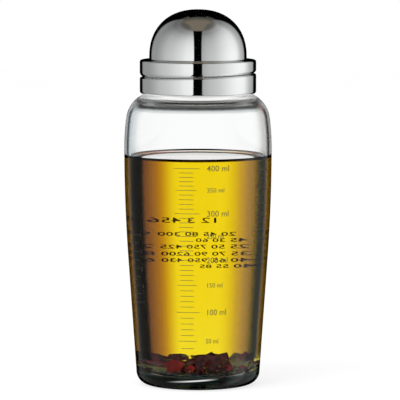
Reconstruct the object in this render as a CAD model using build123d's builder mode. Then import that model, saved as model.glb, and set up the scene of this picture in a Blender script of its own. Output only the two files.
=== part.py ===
from build123d import *
from math import cos, radians, sin, sqrt
import os

# A glass shaker bottle for salad dressing, with a pouring lid under a push-on steel cap.
# Millimetres, +Z up, origin at the centre of the base, the printed scale faces -Y.

# Glass bottle, outside; the shares are of its widest radius and of the height where that is
belly_radius = 40.15
belly_height = 129
base_share = 0.828
bearing_ring_share = 0.498
heel_radius = 7
push_up_depth = 1.2
side_share = 0.949
side_height_share = 0.5426
shoulder_share = 0.9713
shoulder_rise = 17
neck_radius = 27.5
crown_rise_share = 1.149
neck_cove_radius = 1.5
neck_length = 8
rim_rounding = 0.8

# Glass bottle, inside
floor_thickness = 7.0
floor_share = 0.66
floor_corner_radius = 9
side_wall = 3.55
belly_wall = 3.3
shoulder_wall = 3.4
neck_wall = 3.2
crown_inside_share = 0.7424

# Dressing, and the spices that have sunk in it
oil_drop = 4.3
oil_gap = 0.1
spice_layer_height = 3.2
spice_floor_gap = 0.5
spice_spacing = 3.4
spice_tilt = 16
spice_tilt_turn = 77
spice_layer_shares = (0.66, 0.84, 0.95)
golden_angle = 137.508
chili_length = 4.8
chili_thickness = 0.55
chili_shares = ((-0.5, -0.16), (-0.08, -0.4), (0.5, -0.2), (0.42, 0.26), (-0.3, 0.36))
dark_leaf_length = 5.0
dark_leaf_thickness = 0.4
dark_leaf_shares = ((-0.5, 0.0), (-0.2, -0.34), (0.34, -0.3), (0.5, 0.12), (0.02, 0.38))
green_leaf_length = 5.2
green_leaf_half_width = 1.1
green_leaf_thickness = 0.35
seed_length = 3.6
seed_width = 1.7
seed_thickness = 1.3

# Steel collar, whose top edge slopes up towards +X
collar_reach = 4.15
collar_wall = 0.8
collar_foot_drop = 0.4
collar_foot_rounding = 1.6
collar_top_rounding = 0.9
collar_foot_lip = 0.2
seam_lift = 1.75
seam_slope = 1.81
seam_gap = 0.3

# Plastic ring inside the collar, which screws onto the neck
thread_room = 1.2
ring_fit = 0.15
ring_foot_lift = 0.9
ring_skirt_drop = 0.3
gasket_thickness = 1.2
gasket_inset = 0.3
lip_thickness = 1.2
lip_overhang = 0.1
boss_reach = 1.6
boss_wall = 1.7
boss_length = 4.0
boss_rounding = 0.4
collar_hole_fit = 0.2
grip_ring_section = 1.0
grip_groove_lift = 1.7
grip_groove_room = 0.2
grip_groove_depth = 0.9

# Pouring insert, the plug bonded under it, and the strainer
insert_fit = 0.1
flange_thickness = 1.4
plug_gap = 0.6
plug_wall = 1.4
plug_depth = 8.1
plug_lip = 0.7
spout_bore_radius = 6.0
spout_mouth_radius = 6.8
spout_foot_radius = 10.6
spout_waist_radius = 8.2
spout_waist_lift = 6
spout_neck_radius = 7.8
spout_lip_radius = 9.2
spout_lip_thickness = 0.9
spout_lip_flare = 3
spout_crown_gap = 15
spout_foot_cove = 5
vent_gap = 4.4
vent_bore_radius = 1.2
vent_wall = 0.9
vent_length = 5
strainer_thickness = 0.8
strainer_hole_radius = 1.5
strainer_ring_share = 0.2287
strainer_rings = 3

# Push-on cap, deep drawn in one piece with its dome, ledge and band
cap_wall = 0.8
band_height = 8.35
ledge_width = 4.7
dome_foot_lift = 1.3
dome_height = 26.4
dome_exponent = 2.1
dome_steps = 9
ledge_cove_radius = 0.9
ledge_corner_radius = 1.1
band_edge_rounding = 2.2
inner_corner_radius = 0.3

# Plastic liner in the cap, with the seal that shuts the spout
liner_gap = 0.15
liner_wall = 1.4
cap_fit = 0.25
hub_gap = 0.8
hub_wall = 1.4
hub_reach = 2.5
rib_thickness = 1.2
seal_thickness = 2.0
seal_gap = 0.1
seal_inset = 0.4

overrun = 5

base_radius = belly_radius * base_share
bearing_ring_radius = belly_radius * bearing_ring_share
side_radius = belly_radius * side_share
side_height = belly_height * side_height_share
shoulder_radius = belly_radius * shoulder_share
shoulder_height = belly_height + shoulder_rise
crown_rise = (shoulder_radius - neck_radius) * crown_rise_share
neck_foot_height = shoulder_height + crown_rise
rim_height = neck_foot_height + neck_length
floor_radius = belly_radius * floor_share
bore_radius = neck_radius - neck_wall
oil_height = belly_height - oil_drop

seam_height = rim_height + seam_lift
seam = Plane.XY.offset(seam_height).rotated((0, -seam_slope, 0))
collar_radius = neck_radius + collar_reach
collar_foot_height = neck_foot_height - collar_foot_drop
boss_radius = neck_radius + boss_reach
ledge_height = seam_height + band_height
dome_radius = collar_radius - ledge_width
dome_foot_height = ledge_height + dome_foot_lift
overall_height = dome_foot_height + dome_height

gasket_top = rim_height + gasket_thickness
lip_top = gasket_top + lip_thickness
flange_top = lip_top + flange_thickness
spout_top = overall_height - spout_crown_gap
plug_radius = bore_radius - plug_gap
plug_inner_radius = plug_radius - plug_wall

os.makedirs("parts", exist_ok=True)


# Half section of the bottle's cavity, drawn smaller by a gap, with everything above a height cut off
def cavity_section(gap, top_height):
    with BuildSketch(Plane.XZ) as section:
        with BuildLine():
            belly = TangentArc(
                (belly_radius - belly_wall - gap, belly_height),
                (side_radius - side_wall - gap, side_height),
                tangent=(0, -1),
            )
            lower = TangentArc(belly @ 1, (floor_radius - gap, floor_thickness + gap), tangent=belly % 1)
            shoulder = TangentArc(
                belly @ 0,
                (shoulder_radius - shoulder_wall - gap, shoulder_height),
                tangent=(0, 1),
            )
            crown = TangentArc(
                shoulder @ 1,
                (bore_radius - gap, shoulder_height + crown_rise * crown_inside_share),
                tangent=shoulder % 1,
            )
            Polyline(
                crown @ 1,
                (bore_radius - gap, rim_height + overrun),
                (0, rim_height + overrun),
                (0, floor_thickness + gap),
                lower @ 1,
            )
        make_face()
        floor_corner = vertices().sort_by_distance((floor_radius - gap, floor_thickness + gap))[0]
        fillet(floor_corner, floor_corner_radius)
        with Locations((0, top_height)):
            Rectangle(belly_radius, rim_height, align=(Align.MIN, Align.MIN), mode=Mode.SUBTRACT)
    return section.sketch


# Outside of the bottle, less its cavity and the shallow push-up under its base
with BuildPart() as glass_bottle:
    with BuildSketch(Plane.XZ):
        with BuildLine():
            belly = TangentArc((belly_radius, belly_height), (side_radius, side_height), tangent=(0, -1))
            shoulder = TangentArc(belly @ 0, (shoulder_radius, shoulder_height), tangent=(0, 1))
            crown = TangentArc(shoulder @ 1, (neck_radius, neck_foot_height), tangent=shoulder % 1)
            Polyline(
                crown @ 1,
                (neck_radius, rim_height),
                (0, rim_height),
                (0, push_up_depth),
            )
            ThreePointArc(
                (0, push_up_depth),
                (bearing_ring_radius / 2, push_up_depth * 3 / 4),
                (bearing_ring_radius, 0),
            )
            Polyline((bearing_ring_radius, 0), (base_radius, 0), belly @ 1)
        make_face()
        fillet(vertices().sort_by_distance((base_radius, 0))[0], heel_radius)
        fillet(vertices().sort_by_distance((neck_radius, neck_foot_height))[0], neck_cove_radius)
    revolve(axis=Axis.Z)
    add(cavity_section(0, rim_height + overrun))
    revolve(axis=Axis.Z, mode=Mode.SUBTRACT)
    fillet(glass_bottle.faces().sort_by(Axis.Z)[-1].edges(), rim_rounding)
glass_bottle.part.label = "glass_bottle"
export_step(glass_bottle.part, "parts/glass_bottle.step")


# Planes of the sunken spices, in flat layers on a sunflower spiral, for one turn out of several
def spice_planes(turn, turns):
    planes = []
    for layer, layer_share in enumerate(spice_layer_shares):
        height = floor_thickness + spice_floor_gap + spice_layer_height * (layer + 0.5)
        reach = floor_radius * layer_share - spice_spacing
        for index in range(int((reach / spice_spacing) ** 2)):
            if (index + layer) % turns != turn:
                continue
            radius = spice_spacing * sqrt(index + 0.5)
            angle = golden_angle * (index + layer)
            lean = radians(spice_tilt_turn * (index + layer))
            place = (radius * cos(radians(angle)), radius * sin(radians(angle)), height)
            turned = (spice_tilt * sin(lean), spice_tilt * cos(lean), angle)
            planes.append(Plane(Location(place, turned)))
    return planes


with BuildPart() as chili_flakes:
    with BuildSketch(*spice_planes(0, 4)):
        Polygon(*[(x * chili_length, y * chili_length) for x, y in chili_shares], align=None)
    extrude(amount=chili_thickness / 2, both=True)
chili_flakes.part.label = "chili_flakes"
export_step(chili_flakes.part, "parts/chili_flakes.step")

with BuildPart() as dark_herbs:
    with BuildSketch(*spice_planes(1, 4)):
        Polygon(*[(x * dark_leaf_length, y * dark_leaf_length) for x, y in dark_leaf_shares], align=None)
    extrude(amount=dark_leaf_thickness / 2, both=True)
dark_herbs.part.label = "dark_herbs"
export_step(dark_herbs.part, "parts/dark_herbs.step")

with BuildPart() as green_herbs:
    with BuildSketch(*spice_planes(2, 4)):
        with BuildLine():
            near = (-green_leaf_length / 2, 0)
            far = (green_leaf_length / 2, 0)
            ThreePointArc(near, (0, green_leaf_half_width), far)
            ThreePointArc(near, (0, -green_leaf_half_width), far)
        make_face()
    extrude(amount=green_leaf_thickness / 2, both=True)
green_herbs.part.label = "green_herbs"
export_step(green_herbs.part, "parts/green_herbs.step")

with BuildPart() as spice_seeds:
    with BuildSketch(*spice_planes(3, 4)):
        Ellipse(seed_length / 2, seed_width / 2)
    extrude(amount=seed_thickness / 2, both=True)
spice_seeds.part.label = "spice_seeds"
export_step(spice_seeds.part, "parts/spice_seeds.step")

# The dressing fills the cavity up to its level, round every spice
with BuildPart() as oil_dressing:
    add(cavity_section(oil_gap, oil_height))
    revolve(axis=Axis.Z)
    for spice in (chili_flakes, dark_herbs, green_herbs, spice_seeds):
        add(spice.part, mode=Mode.SUBTRACT)
oil_dressing.part.label = "oil_dressing"
export_step(oil_dressing.part, "parts/oil_dressing.step")

# Gasket on the rim
with BuildPart() as neck_gasket:
    with BuildSketch(Plane.XY.offset(rim_height)):
        Circle(neck_radius - gasket_inset)
        Circle(bore_radius + gasket_inset, mode=Mode.SUBTRACT)
    extrude(amount=gasket_thickness)
neck_gasket.part.label = "neck_gasket"
export_step(neck_gasket.part, "parts/neck_gasket.step")


# The collar's block, drawn smaller by an inset, between its foot and the sloping seam
def collar_form(inset):
    with BuildPart() as form:
        with BuildSketch(Plane.XY.offset(collar_foot_height + inset)):
            Circle(collar_radius - inset)
        extrude(amount=rim_height - collar_foot_height + overrun)
        split(bisect_by=seam.offset(-seam_gap / 2 - inset), keep=Keep.BOTTOM)
        fillet(form.faces().sort_by(Axis.Z)[-1].edges(), collar_top_rounding - inset)
        fillet(form.faces().sort_by(Axis.Z)[0].edges(), collar_foot_rounding - inset)
    return form.part


with BuildPart() as collar_shell:
    add(collar_form(0))
    add(collar_form(collar_wall), mode=Mode.SUBTRACT)
    with BuildSketch(Plane.XY.offset(seam_height - overrun)):
        Circle(boss_radius + collar_hole_fit)
    extrude(amount=2 * overrun, mode=Mode.SUBTRACT)
    with BuildSketch(Plane.XY.offset(seam_height - overrun)):
        Circle(collar_radius - collar_foot_rounding - collar_foot_lip)
    extrude(amount=collar_foot_height - seam_height, mode=Mode.SUBTRACT)
collar_shell.part.label = "collar_shell"
export_step(collar_shell.part, "parts/collar_shell.step")

# Ring that carries the thread, with the lip that presses the gasket and the boss that the cap grips
ring_radius = collar_radius - collar_wall - ring_fit
ring_top = rim_height - ring_skirt_drop
boss_top = lip_top + boss_length
with BuildPart() as screw_ring:
    with BuildSketch(Plane.XZ):
        Polygon(
            (neck_radius + thread_room, collar_foot_height + ring_foot_lift),
            (ring_radius, collar_foot_height + ring_foot_lift),
            (ring_radius, ring_top),
            (boss_radius, ring_top),
            (boss_radius, boss_top),
            (boss_radius - boss_wall, boss_top),
            (boss_radius - boss_wall, lip_top),
            (bore_radius + lip_overhang, lip_top),
            (bore_radius + lip_overhang, gasket_top),
            (neck_radius + thread_room, gasket_top),
            align=None,
        )
        fillet(vertices().group_by(Axis.Y)[-1], boss_rounding)
        fillet(vertices().group_by(Axis.X)[-1], collar_foot_rounding - collar_wall)
        with Locations((boss_radius, lip_top + grip_groove_lift)):
            Rectangle(
                2 * grip_groove_depth,
                grip_ring_section + grip_groove_room,
                mode=Mode.SUBTRACT,
            )
    revolve(axis=Axis.Z)
screw_ring.part.label = "screw_ring"
export_step(screw_ring.part, "parts/screw_ring.step")

# Round ring in the boss's groove, which holds the cap on
with BuildPart() as cap_grip_ring:
    with BuildSketch(Plane.XZ):
        with Locations((boss_radius - grip_groove_depth + grip_ring_section / 2, lip_top + grip_groove_lift)):
            Circle(grip_ring_section / 2)
    revolve(axis=Axis.Z)
cap_grip_ring.part.label = "cap_grip_ring"
export_step(cap_grip_ring.part, "parts/cap_grip_ring.step")

# Pouring insert: flange on the lip, spout with a flared lip, and an air vent
spout_lip_foot = spout_top - spout_lip_thickness
vent_offset = spout_foot_radius + vent_gap
with BuildPart() as pour_insert:
    with BuildSketch(Plane.XZ):
        Polygon(
            (spout_bore_radius, lip_top),
            (boss_radius - boss_wall - insert_fit, lip_top),
            (boss_radius - boss_wall - insert_fit, flange_top),
            (spout_foot_radius, flange_top),
            (spout_waist_radius, flange_top + spout_waist_lift),
            (spout_neck_radius, spout_lip_foot - spout_lip_flare),
            (spout_lip_radius, spout_lip_foot),
            (spout_lip_radius, spout_top),
            (spout_mouth_radius, spout_top),
            (spout_bore_radius, spout_lip_foot - spout_lip_flare),
            align=None,
        )
        waist = vertices().sort_by_distance((spout_waist_radius, flange_top + spout_waist_lift))[0]
        fillet(waist, spout_foot_cove)
    revolve(axis=Axis.Z)
    with BuildSketch(Plane.XY.offset(flange_top)):
        with Locations((-vent_offset, 0)):
            Circle(vent_bore_radius + vent_wall)
    extrude(amount=vent_length)
    with BuildSketch(Plane.XY.offset(lip_top)):
        with Locations((-vent_offset, 0)):
            Circle(vent_bore_radius)
    extrude(amount=flange_thickness + vent_length, mode=Mode.SUBTRACT)
pour_insert.part.label = "pour_insert"
export_step(pour_insert.part, "parts/pour_insert.step")

# Plug bonded under the flange, which reaches down the neck, with an inner lip at its foot
plug_foot = lip_top - plug_depth
with BuildPart() as neck_plug:
    with BuildSketch(Plane.XZ):
        Polygon(
            (plug_radius, lip_top),
            (plug_inner_radius, lip_top),
            (plug_inner_radius, plug_foot + plug_lip),
            (plug_inner_radius - plug_lip, plug_foot + plug_lip),
            (plug_inner_radius - plug_lip, plug_foot),
            (plug_radius, plug_foot),
            align=None,
        )
    revolve(axis=Axis.Z)
neck_plug.part.label = "neck_plug"
export_step(neck_plug.part, "parts/neck_plug.step")

# Strainer, snapped in above the plug's inner lip, with rings of holes
with BuildPart() as strainer:
    with BuildSketch(Plane.XY.offset(plug_foot + plug_lip)):
        Circle(plug_inner_radius - insert_fit)
        Circle(strainer_hole_radius, mode=Mode.SUBTRACT)
        for ring in range(1, strainer_rings + 1):
            with PolarLocations(plug_inner_radius * strainer_ring_share * ring, 6 * ring):
                Circle(strainer_hole_radius, mode=Mode.SUBTRACT)
    extrude(amount=strainer_thickness)
strainer.part.label = "strainer"
export_step(strainer.part, "parts/strainer.step")


# Quarter of the dome's outline, a rounded square between a circle and a box
def dome_outline(inset):
    points = []
    for step in range(dome_steps + 1):
        turn = radians(90 * step / dome_steps)
        across = cos(turn) ** (2 / dome_exponent) if step < dome_steps else 0
        up = sin(turn) ** (2 / dome_exponent)
        points.append((
            (dome_radius - inset) * across,
            dome_foot_height + (overall_height - dome_foot_height - inset) * up,
        ))
    return points


# The cap's block, drawn smaller by an inset, down to the sloping seam
def cap_form(inset, corner_radius, edge_radius):
    top_points = dome_outline(inset)
    corner = (collar_radius - inset, ledge_height - inset)
    foot = (dome_radius - inset, ledge_height - inset)
    floor_height = seam_height - overrun
    with BuildPart() as form:
        with BuildSketch(Plane.XZ):
            with BuildLine():
                Spline(*top_points, tangents=((0, 1), (-1, 0)))
                Polyline(
                    top_points[-1],
                    (0, floor_height),
                    (collar_radius - inset, floor_height),
                    corner,
                    foot,
                    top_points[0],
                )
            make_face()
            fillet(vertices().sort_by_distance(foot)[0], ledge_cove_radius)
            fillet(vertices().sort_by_distance(corner)[0], corner_radius)
        revolve(axis=Axis.Z)
        split(bisect_by=seam.offset(seam_gap / 2 + inset), keep=Keep.TOP)
        fillet(form.faces().sort_by(Axis.Z)[0].edges(), edge_radius)
    return form.part


with BuildPart() as cap_shell:
    add(cap_form(0, ledge_corner_radius, band_edge_rounding))
    add(cap_form(cap_wall, inner_corner_radius, band_edge_rounding - cap_wall), mode=Mode.SUBTRACT)
    with BuildSketch(Plane.XY.offset(seam_height - overrun)):
        Circle(boss_radius + cap_fit)
    extrude(amount=2 * overrun, mode=Mode.SUBTRACT)
cap_shell.part.label = "cap_shell"
export_step(cap_shell.part, "parts/cap_shell.step")

# Moulded liner, a cup inside the steel
liner_inset = cap_wall + liner_gap
with BuildPart() as cap_liner:
    add(cap_form(liner_inset, inner_corner_radius, band_edge_rounding - liner_inset))
    add(cap_form(liner_inset + liner_wall, inner_corner_radius, inner_corner_radius), mode=Mode.SUBTRACT)
    with BuildSketch(Plane.XY.offset(seam_height - overrun)):
        Circle(boss_radius + cap_fit)
    extrude(amount=ledge_height - liner_inset - liner_wall - seam_height + overrun, mode=Mode.SUBTRACT)
cap_liner.part.label = "cap_liner"
export_step(cap_liner.part, "parts/cap_liner.step")

# Ribbed hub welded under the liner's dome, which backs the spout's seal
seal_foot = spout_top + seal_gap
seal_top = seal_foot + seal_thickness
hub_radius = spout_lip_radius + hub_gap
with BuildPart() as seal_hub:
    with BuildSketch(Plane.XY.offset(spout_top - hub_reach)):
        Circle(hub_radius + hub_wall)
        Circle(hub_radius, mode=Mode.SUBTRACT)
    extrude(amount=overall_height - spout_top)
    with BuildSketch(Plane.XY.offset(seal_top)):
        Rectangle(2 * hub_radius + hub_wall, rib_thickness)
        Rectangle(rib_thickness, 2 * hub_radius + hub_wall)
    extrude(amount=overall_height - seal_top)
    add(cap_form(liner_inset + liner_wall, inner_corner_radius, inner_corner_radius), mode=Mode.INTERSECT)
seal_hub.part.label = "seal_hub"
export_step(seal_hub.part, "parts/seal_hub.step")

# Soft pad in the hub, which shuts the spout when the cap is on
with BuildPart() as spout_seal:
    with BuildSketch(Plane.XY.offset(seal_foot)):
        Circle(hub_radius - seal_inset)
    extrude(amount=seal_thickness)
spout_seal.part.label = "spout_seal"
export_step(spout_seal.part, "parts/spout_seal.step")
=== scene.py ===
import bpy
import bmesh
import math
import random
from mathutils import Matrix, Vector


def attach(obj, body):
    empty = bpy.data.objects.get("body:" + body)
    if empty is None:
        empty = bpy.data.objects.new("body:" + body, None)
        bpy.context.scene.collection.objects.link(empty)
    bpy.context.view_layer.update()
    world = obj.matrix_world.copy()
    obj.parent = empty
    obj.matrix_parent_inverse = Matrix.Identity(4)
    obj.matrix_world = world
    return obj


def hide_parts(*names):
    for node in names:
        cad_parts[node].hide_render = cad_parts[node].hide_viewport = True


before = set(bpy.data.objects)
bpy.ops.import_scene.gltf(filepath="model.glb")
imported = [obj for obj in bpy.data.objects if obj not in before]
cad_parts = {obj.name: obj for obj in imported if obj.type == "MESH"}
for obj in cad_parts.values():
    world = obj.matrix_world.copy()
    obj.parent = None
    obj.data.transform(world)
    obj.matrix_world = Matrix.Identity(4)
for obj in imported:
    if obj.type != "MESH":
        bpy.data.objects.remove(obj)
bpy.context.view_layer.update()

scene = bpy.context.scene
print("frame loaded")


# Outlines are lists of (radius, height) in metres, turned round the bottle's axis
meshing = {"mergeDistance": 2e-6, "leastEdge": 1e-7, "leastBend": 1e-6, "sharpAngle": 40}


def arcTo(start, heading, end, steps):
    # points of the arc that leaves start along heading (radians) and ends at end, and its last heading
    across, up = end[0] - start[0], end[1] - start[1]
    chord = math.hypot(across, up)
    bend = math.remainder(math.atan2(up, across) - heading, math.tau)
    bent = abs(bend) > meshing["leastBend"]
    points = []
    for step in range(1, steps + 1):
        part = step / steps
        reach = chord * (math.sin(bend * part) / math.sin(bend) if bent else part)
        points.append((start[0] + reach * math.cos(heading + bend * part),
                       start[1] + reach * math.sin(heading + bend * part)))
    return points, heading + 2 * bend


def rounded(before, corner, after, radius, steps):
    # points of a round that replaces the corner between two straight runs
    back = (Vector(before) - Vector(corner)).normalized()
    ahead = (Vector(after) - Vector(corner)).normalized()
    halfAngle = back.angle(ahead) / 2
    cut = radius / math.tan(halfAngle)
    start = Vector(corner) + back * cut
    end = Vector(corner) + ahead * cut
    heading = math.atan2(-back.y, -back.x)
    return [tuple(start)] + arcTo(tuple(start), heading, tuple(end), steps)[0]


def softened(points, rounds, steps):
    # the outline with a round at each corner named by its index
    out = []
    for index, point in enumerate(points):
        if index in rounds:
            after = points[(index + 1) % len(points)]
            out += rounded(points[index - 1], point, after, rounds[index], steps)
        else:
            out.append(point)
    return out


def turned(name, outline, segments, closed=False):
    # a solid of revolution about the bottle's axis
    bm = bmesh.new()
    verts = [bm.verts.new((radius, 0, height)) for radius, height in outline]
    for first, second in zip(verts, verts[1:] + (verts[:1] if closed else [])):
        bm.edges.new((first, second))
    bmesh.ops.spin(bm, geom=bm.verts[:] + bm.edges[:], axis=(0, 0, 1), cent=(0, 0, 0),
                   angle=math.tau, steps=segments, use_merge=True)
    bmesh.ops.remove_doubles(bm, verts=bm.verts, dist=meshing["mergeDistance"])
    bmesh.ops.dissolve_degenerate(bm, dist=meshing["leastEdge"], edges=bm.edges)
    bmesh.ops.recalc_face_normals(bm, faces=bm.faces)
    return finished(name, bm)


def finished(name, bm, sharpAngle=meshing["sharpAngle"]):
    mesh = bpy.data.meshes.new(name)
    bm.to_mesh(mesh)
    bm.free()
    mesh.shade_smooth()
    mesh.set_sharp_from_angle(angle=math.radians(sharpAngle))
    piece = bpy.data.objects.new(name, mesh)
    scene.collection.objects.link(piece)
    return piece


def dressed(piece, body, material, slotName, *nodes):
    # gives a piece its finish, the body that carries it and the nodes that it stands for
    piece.data.materials.clear()
    piece.data.materials.append(material)
    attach(piece, body)
    if nodes:
        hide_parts(*nodes)


# Materials: the helpers below add nodes to a tree, and most give back the socket that these end in
white, black = (1, 1, 1), (0, 0, 0)


def newMaterial(name):
    material = bpy.data.materials.new(name)
    material.use_nodes = True
    return material, material.node_tree, material.node_tree.nodes["Principled BSDF"]


def feed(tree, node, values):
    # puts numbers, colours or the outputs of other nodes into a node's inputs
    for key, value in values.items():
        if isinstance(value, (int, float)):
            node.inputs[key].default_value = value
        elif isinstance(value, tuple):
            node.inputs[key].default_value = (*value, 1)
        else:
            tree.links.new(value, node.inputs[key])


def addNode(tree, kind, values=None, **settings):
    # a new node with its settings and what feeds its inputs
    node = tree.nodes.new(kind)
    for key, setting in settings.items():
        setattr(node, key, setting)
    feed(tree, node, values or {})
    return node


def rampNode(tree, share, stops):
    ramp = addNode(tree, "ShaderNodeValToRGB", {"Fac": share})
    elements = ramp.color_ramp.elements
    while len(elements) < len(stops):
        elements.new(0.5)
    for element, (place, color) in zip(elements, stops):
        element.position = place
        element.color = (*color, 1)
    return ramp.outputs["Color"]


def mathNode(tree, operation, *values):
    return addNode(tree, "ShaderNodeMath", dict(enumerate(values)), operation=operation).outputs[0]


def times(tree, first, second):
    return mathNode(tree, "MULTIPLY", first, second)


def smoothStep(tree, value, low, high, least=0.0, most=1.0):
    ends = {"Value": value, "From Min": low, "From Max": high, "To Min": least, "To Max": most}
    return addNode(tree, "ShaderNodeMapRange", ends, interpolation_type="SMOOTHSTEP").outputs["Result"]


def within(tree, value, start, full, last, end):
    # 1 from full to last, and 0 before start and after end
    return times(tree, smoothStep(tree, value, start, full), smoothStep(tree, value, last, end, 1.0, 0.0))


def mixNode(tree, share, first, second, blend="MIX"):
    colors = {"Factor": share, "A": first, "B": second}
    return addNode(tree, "ShaderNodeMix", colors, data_type="RGBA", blend_type=blend).outputs["Result"]


def tinted(tree, first, second):
    return mixNode(tree, 1.0, first, second, "MULTIPLY")


def mixShader(tree, share, first, second):
    return addNode(tree, "ShaderNodeMixShader", {"Fac": share, 1: first, 2: second}).outputs["Shader"]


def placeNode(tree, space="Object"):
    return addNode(tree, "ShaderNodeTexCoord").outputs[space]


def placeParts(tree, space="Object"):
    # the parts of a place to the right, to the back and up
    return tuple(addNode(tree, "ShaderNodeSeparateXYZ", {"Vector": placeNode(tree, space)}).outputs)


def axisReach(tree, x, y):
    # distance from the bottle's axis
    flat = addNode(tree, "ShaderNodeCombineXYZ", {"X": x, "Y": y}).outputs["Vector"]
    return addNode(tree, "ShaderNodeVectorMath", {0: flat}, operation="LENGTH").outputs["Value"]


def facingNode(tree):
    # 0 where a face looks at the eye and 1 where it turns away
    return addNode(tree, "ShaderNodeLayerWeight", {"Blend": 0.5}).outputs["Facing"]


def noiseNode(tree, scale, detail):
    values = {"Vector": placeNode(tree), "Scale": scale, "Detail": detail}
    return addNode(tree, "ShaderNodeTexNoise", values).outputs["Fac"]


def noiseBump(tree, shader, scale, strength, depth, detail):
    noise = noiseNode(tree, scale, detail)
    bump = addNode(tree, "ShaderNodeBump", {"Height": noise, "Strength": strength, "Distance": depth})
    feed(tree, shader, {"Normal": bump.outputs["Normal"]})
    return noise


def makeClear(name, look):
    # a clear solid whose tint grows with its depth
    material, tree, shader = newMaterial(name)
    feed(tree, shader, {"IOR": look["ior"], "Roughness": 0.0, "Transmission Weight": 1.0})
    tint = {"Color": look["tint"], "Density": look["tintDensity"]}
    absorption = addNode(tree, "ShaderNodeVolumeAbsorption", tint)
    feed(tree, tree.nodes["Material Output"], {"Volume": absorption.outputs["Volume"]})
    return material, tree, shader


clearGlass = {
    "ior": 1.5, "tint": (0.90, 0.965, 0.955), "tintDensity": 14,
    "waveScale": 22, "waveStrength": 0.10, "waveDepth": 0.0006, "waveDetail": 1.0,
    # painted shade: a share of the light let through by height, near black in the thick base
    "baseHeight": 0.012,
    "baseShadeStops": (
        (0.0, (0.02, 0.03, 0.03)), (0.30, (0.003, 0.006, 0.005)), (0.58, (0.003, 0.006, 0.005)),
        (0.66, (0.2, 0.23, 0.2)), (0.74, (1, 1, 1)),
    ),
    # and painted dark edges, by how far the outer wall turns from the eye, where the bottle is full and where
    # it is empty
    "filledEdgeShade": (
        (0.046, (1, 1, 1)), (0.067, (0.98, 0.96, 0.9)), (0.088, (0.93, 0.86, 0.8)),
        (0.134, (0.70, 0.55, 0.4)), (0.185, (0.44, 0.27, 0.2)), (0.240, (0.28, 0.155, 0.13)),
        (0.286, (0.185, 0.095, 0.09)), (0.380, (0.08, 0.053, 0.05)), (0.422, (0.0208, 0.021, 0.02)),
        (0.466, (0.0011, 0.0023, 0.002)), (0.515, (0.0001, 0.0005, 0.0004)),
        (0.588, (0.0001, 0.0006, 0.0004)), (0.624, (0.025, 0.022, 0.02)), (0.700, (0.112, 0.080, 0.08)),
        (0.801, (0.080, 0.062, 0.07)), (1.0, (0.107, 0.125, 0.1)),
    ),
    # and more painted shade on the left of the full part
    "leftEdgeShade": (
        (0.07, (1, 1, 1)), (0.10, (0.92, 0.86, 1)), (0.138, (0.87, 0.68, 1)), (0.174, (0.77, 0.57, 1)),
        (0.234, (0.64, 0.5, 0.8)), (0.312, (0.6, 0.4, 0.7)), (0.343, (0.12, 0.1, 0.15)),
        (0.363, (0.003, 0.004, 0.004)), (0.53, (0.003, 0.004, 0.004)), (0.59, (1, 1, 1)),
    ),
    # painted shade on the walls where the bottle is empty
    "emptyEdgeShade": (
        (0.36, (1, 1, 1)), (0.43, (0.87, 0.89, 0.9)), (0.485, (0.68, 0.71, 0.73)),
        (0.564, (0.42, 0.51, 0.54)), (0.620, (0.36, 0.44, 0.47)), (0.645, (0.12, 0.15, 0.16)),
        (0.675, (0.010, 0.016, 0.018)), (0.700, (0.002, 0.004, 0.005)), (0.715, (0.004, 0.007, 0.008)),
        (0.745, (0.10, 0.12, 0.14)), (0.801, (0.42, 0.44, 0.47)), (0.9, (0.7, 0.72, 0.74)),
    ),
    "fillHeight": (0.1255, 0.1259), "fillTilt": 0.0075,
    # painted shade: two dark rings that the crown's curve shows, and painted white light on its top, by
    # height
    "crownHeights": (0.150, 0.160),
    "crownRingShade": (
        (0.0, (0.95, 0.95, 0.95)), (0.06, (0.62, 0.63, 0.63)), (0.12, (0.45, 0.47, 0.47)),
        (0.165, (0.27, 0.28, 0.28)), (0.215, (0.04, 0.045, 0.045)),
        (0.265, (0.002, 0.003, 0.003)), (0.315, (0.003, 0.004, 0.004)), (0.365, (0.010, 0.011, 0.010)),
        (0.41, (0.10, 0.10, 0.095)),
    ),
    "upperRingShade": (
        (0.44, (1, 1, 1)), (0.47, (0.5, 0.5, 0.5)), (0.51, (0.01, 0.011, 0.01)),
        (0.55, (0.01, 0.011, 0.01)), (0.58, (0.08, 0.085, 0.08)), (0.62, (0.8, 0.8, 0.8)),
        (0.65, (1, 1, 1)),
    ),
    # the painted rings fade towards the sides
    "upperSides": (0.019, 0.027), "ringSides": (0.031, 0.037), "ringSideShare": 0.15,
    # the walls' painted dark edges fade up there
    "crownClear": (0.150, 0.154), "crownShare": 0.5,
    # a painted highlight: the glass glows white on the crown's top, less towards its edges
    "crownPaintedGlow": 0.6, "crownTop": (0.1566, 0.1574), "crownEdge": (0.55, 0.80), "crownEdgeShare": 0.25,
    # a painted highlight: a glowing streak on the front of the heel
    "heelPaintedGlow": 0.75, "heelStreak": (0.00535, 0.00565, 0.0062, 0.0065), "streakSlope": 0.068,
    "streakSides": (-0.018, -0.002, 0.002, 0.012),
    # the heel mirrors little but on its right
    "heelShine": (0.0085, 0.0110), "heelShineLeast": 0.1, "shineSide": (0.012, 0.020),
    # no painted dark edges down where the spices lie
    "spiceHeight": (0.0130, 0.0160),
    # how much of the studio the glass mirrors, by how far it turns from the eye
    "shineStops": (
        (0.0, (0.02,) * 3), (0.12, (0.05,) * 3), (0.25, (0.9,) * 3), (0.33, (0.9,) * 3),
        (0.39, (0.05,) * 3), (0.56, (0.05,) * 3), (0.66, (0.5,) * 3), (0.8, (0.5,) * 3),
    ),
}


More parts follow.
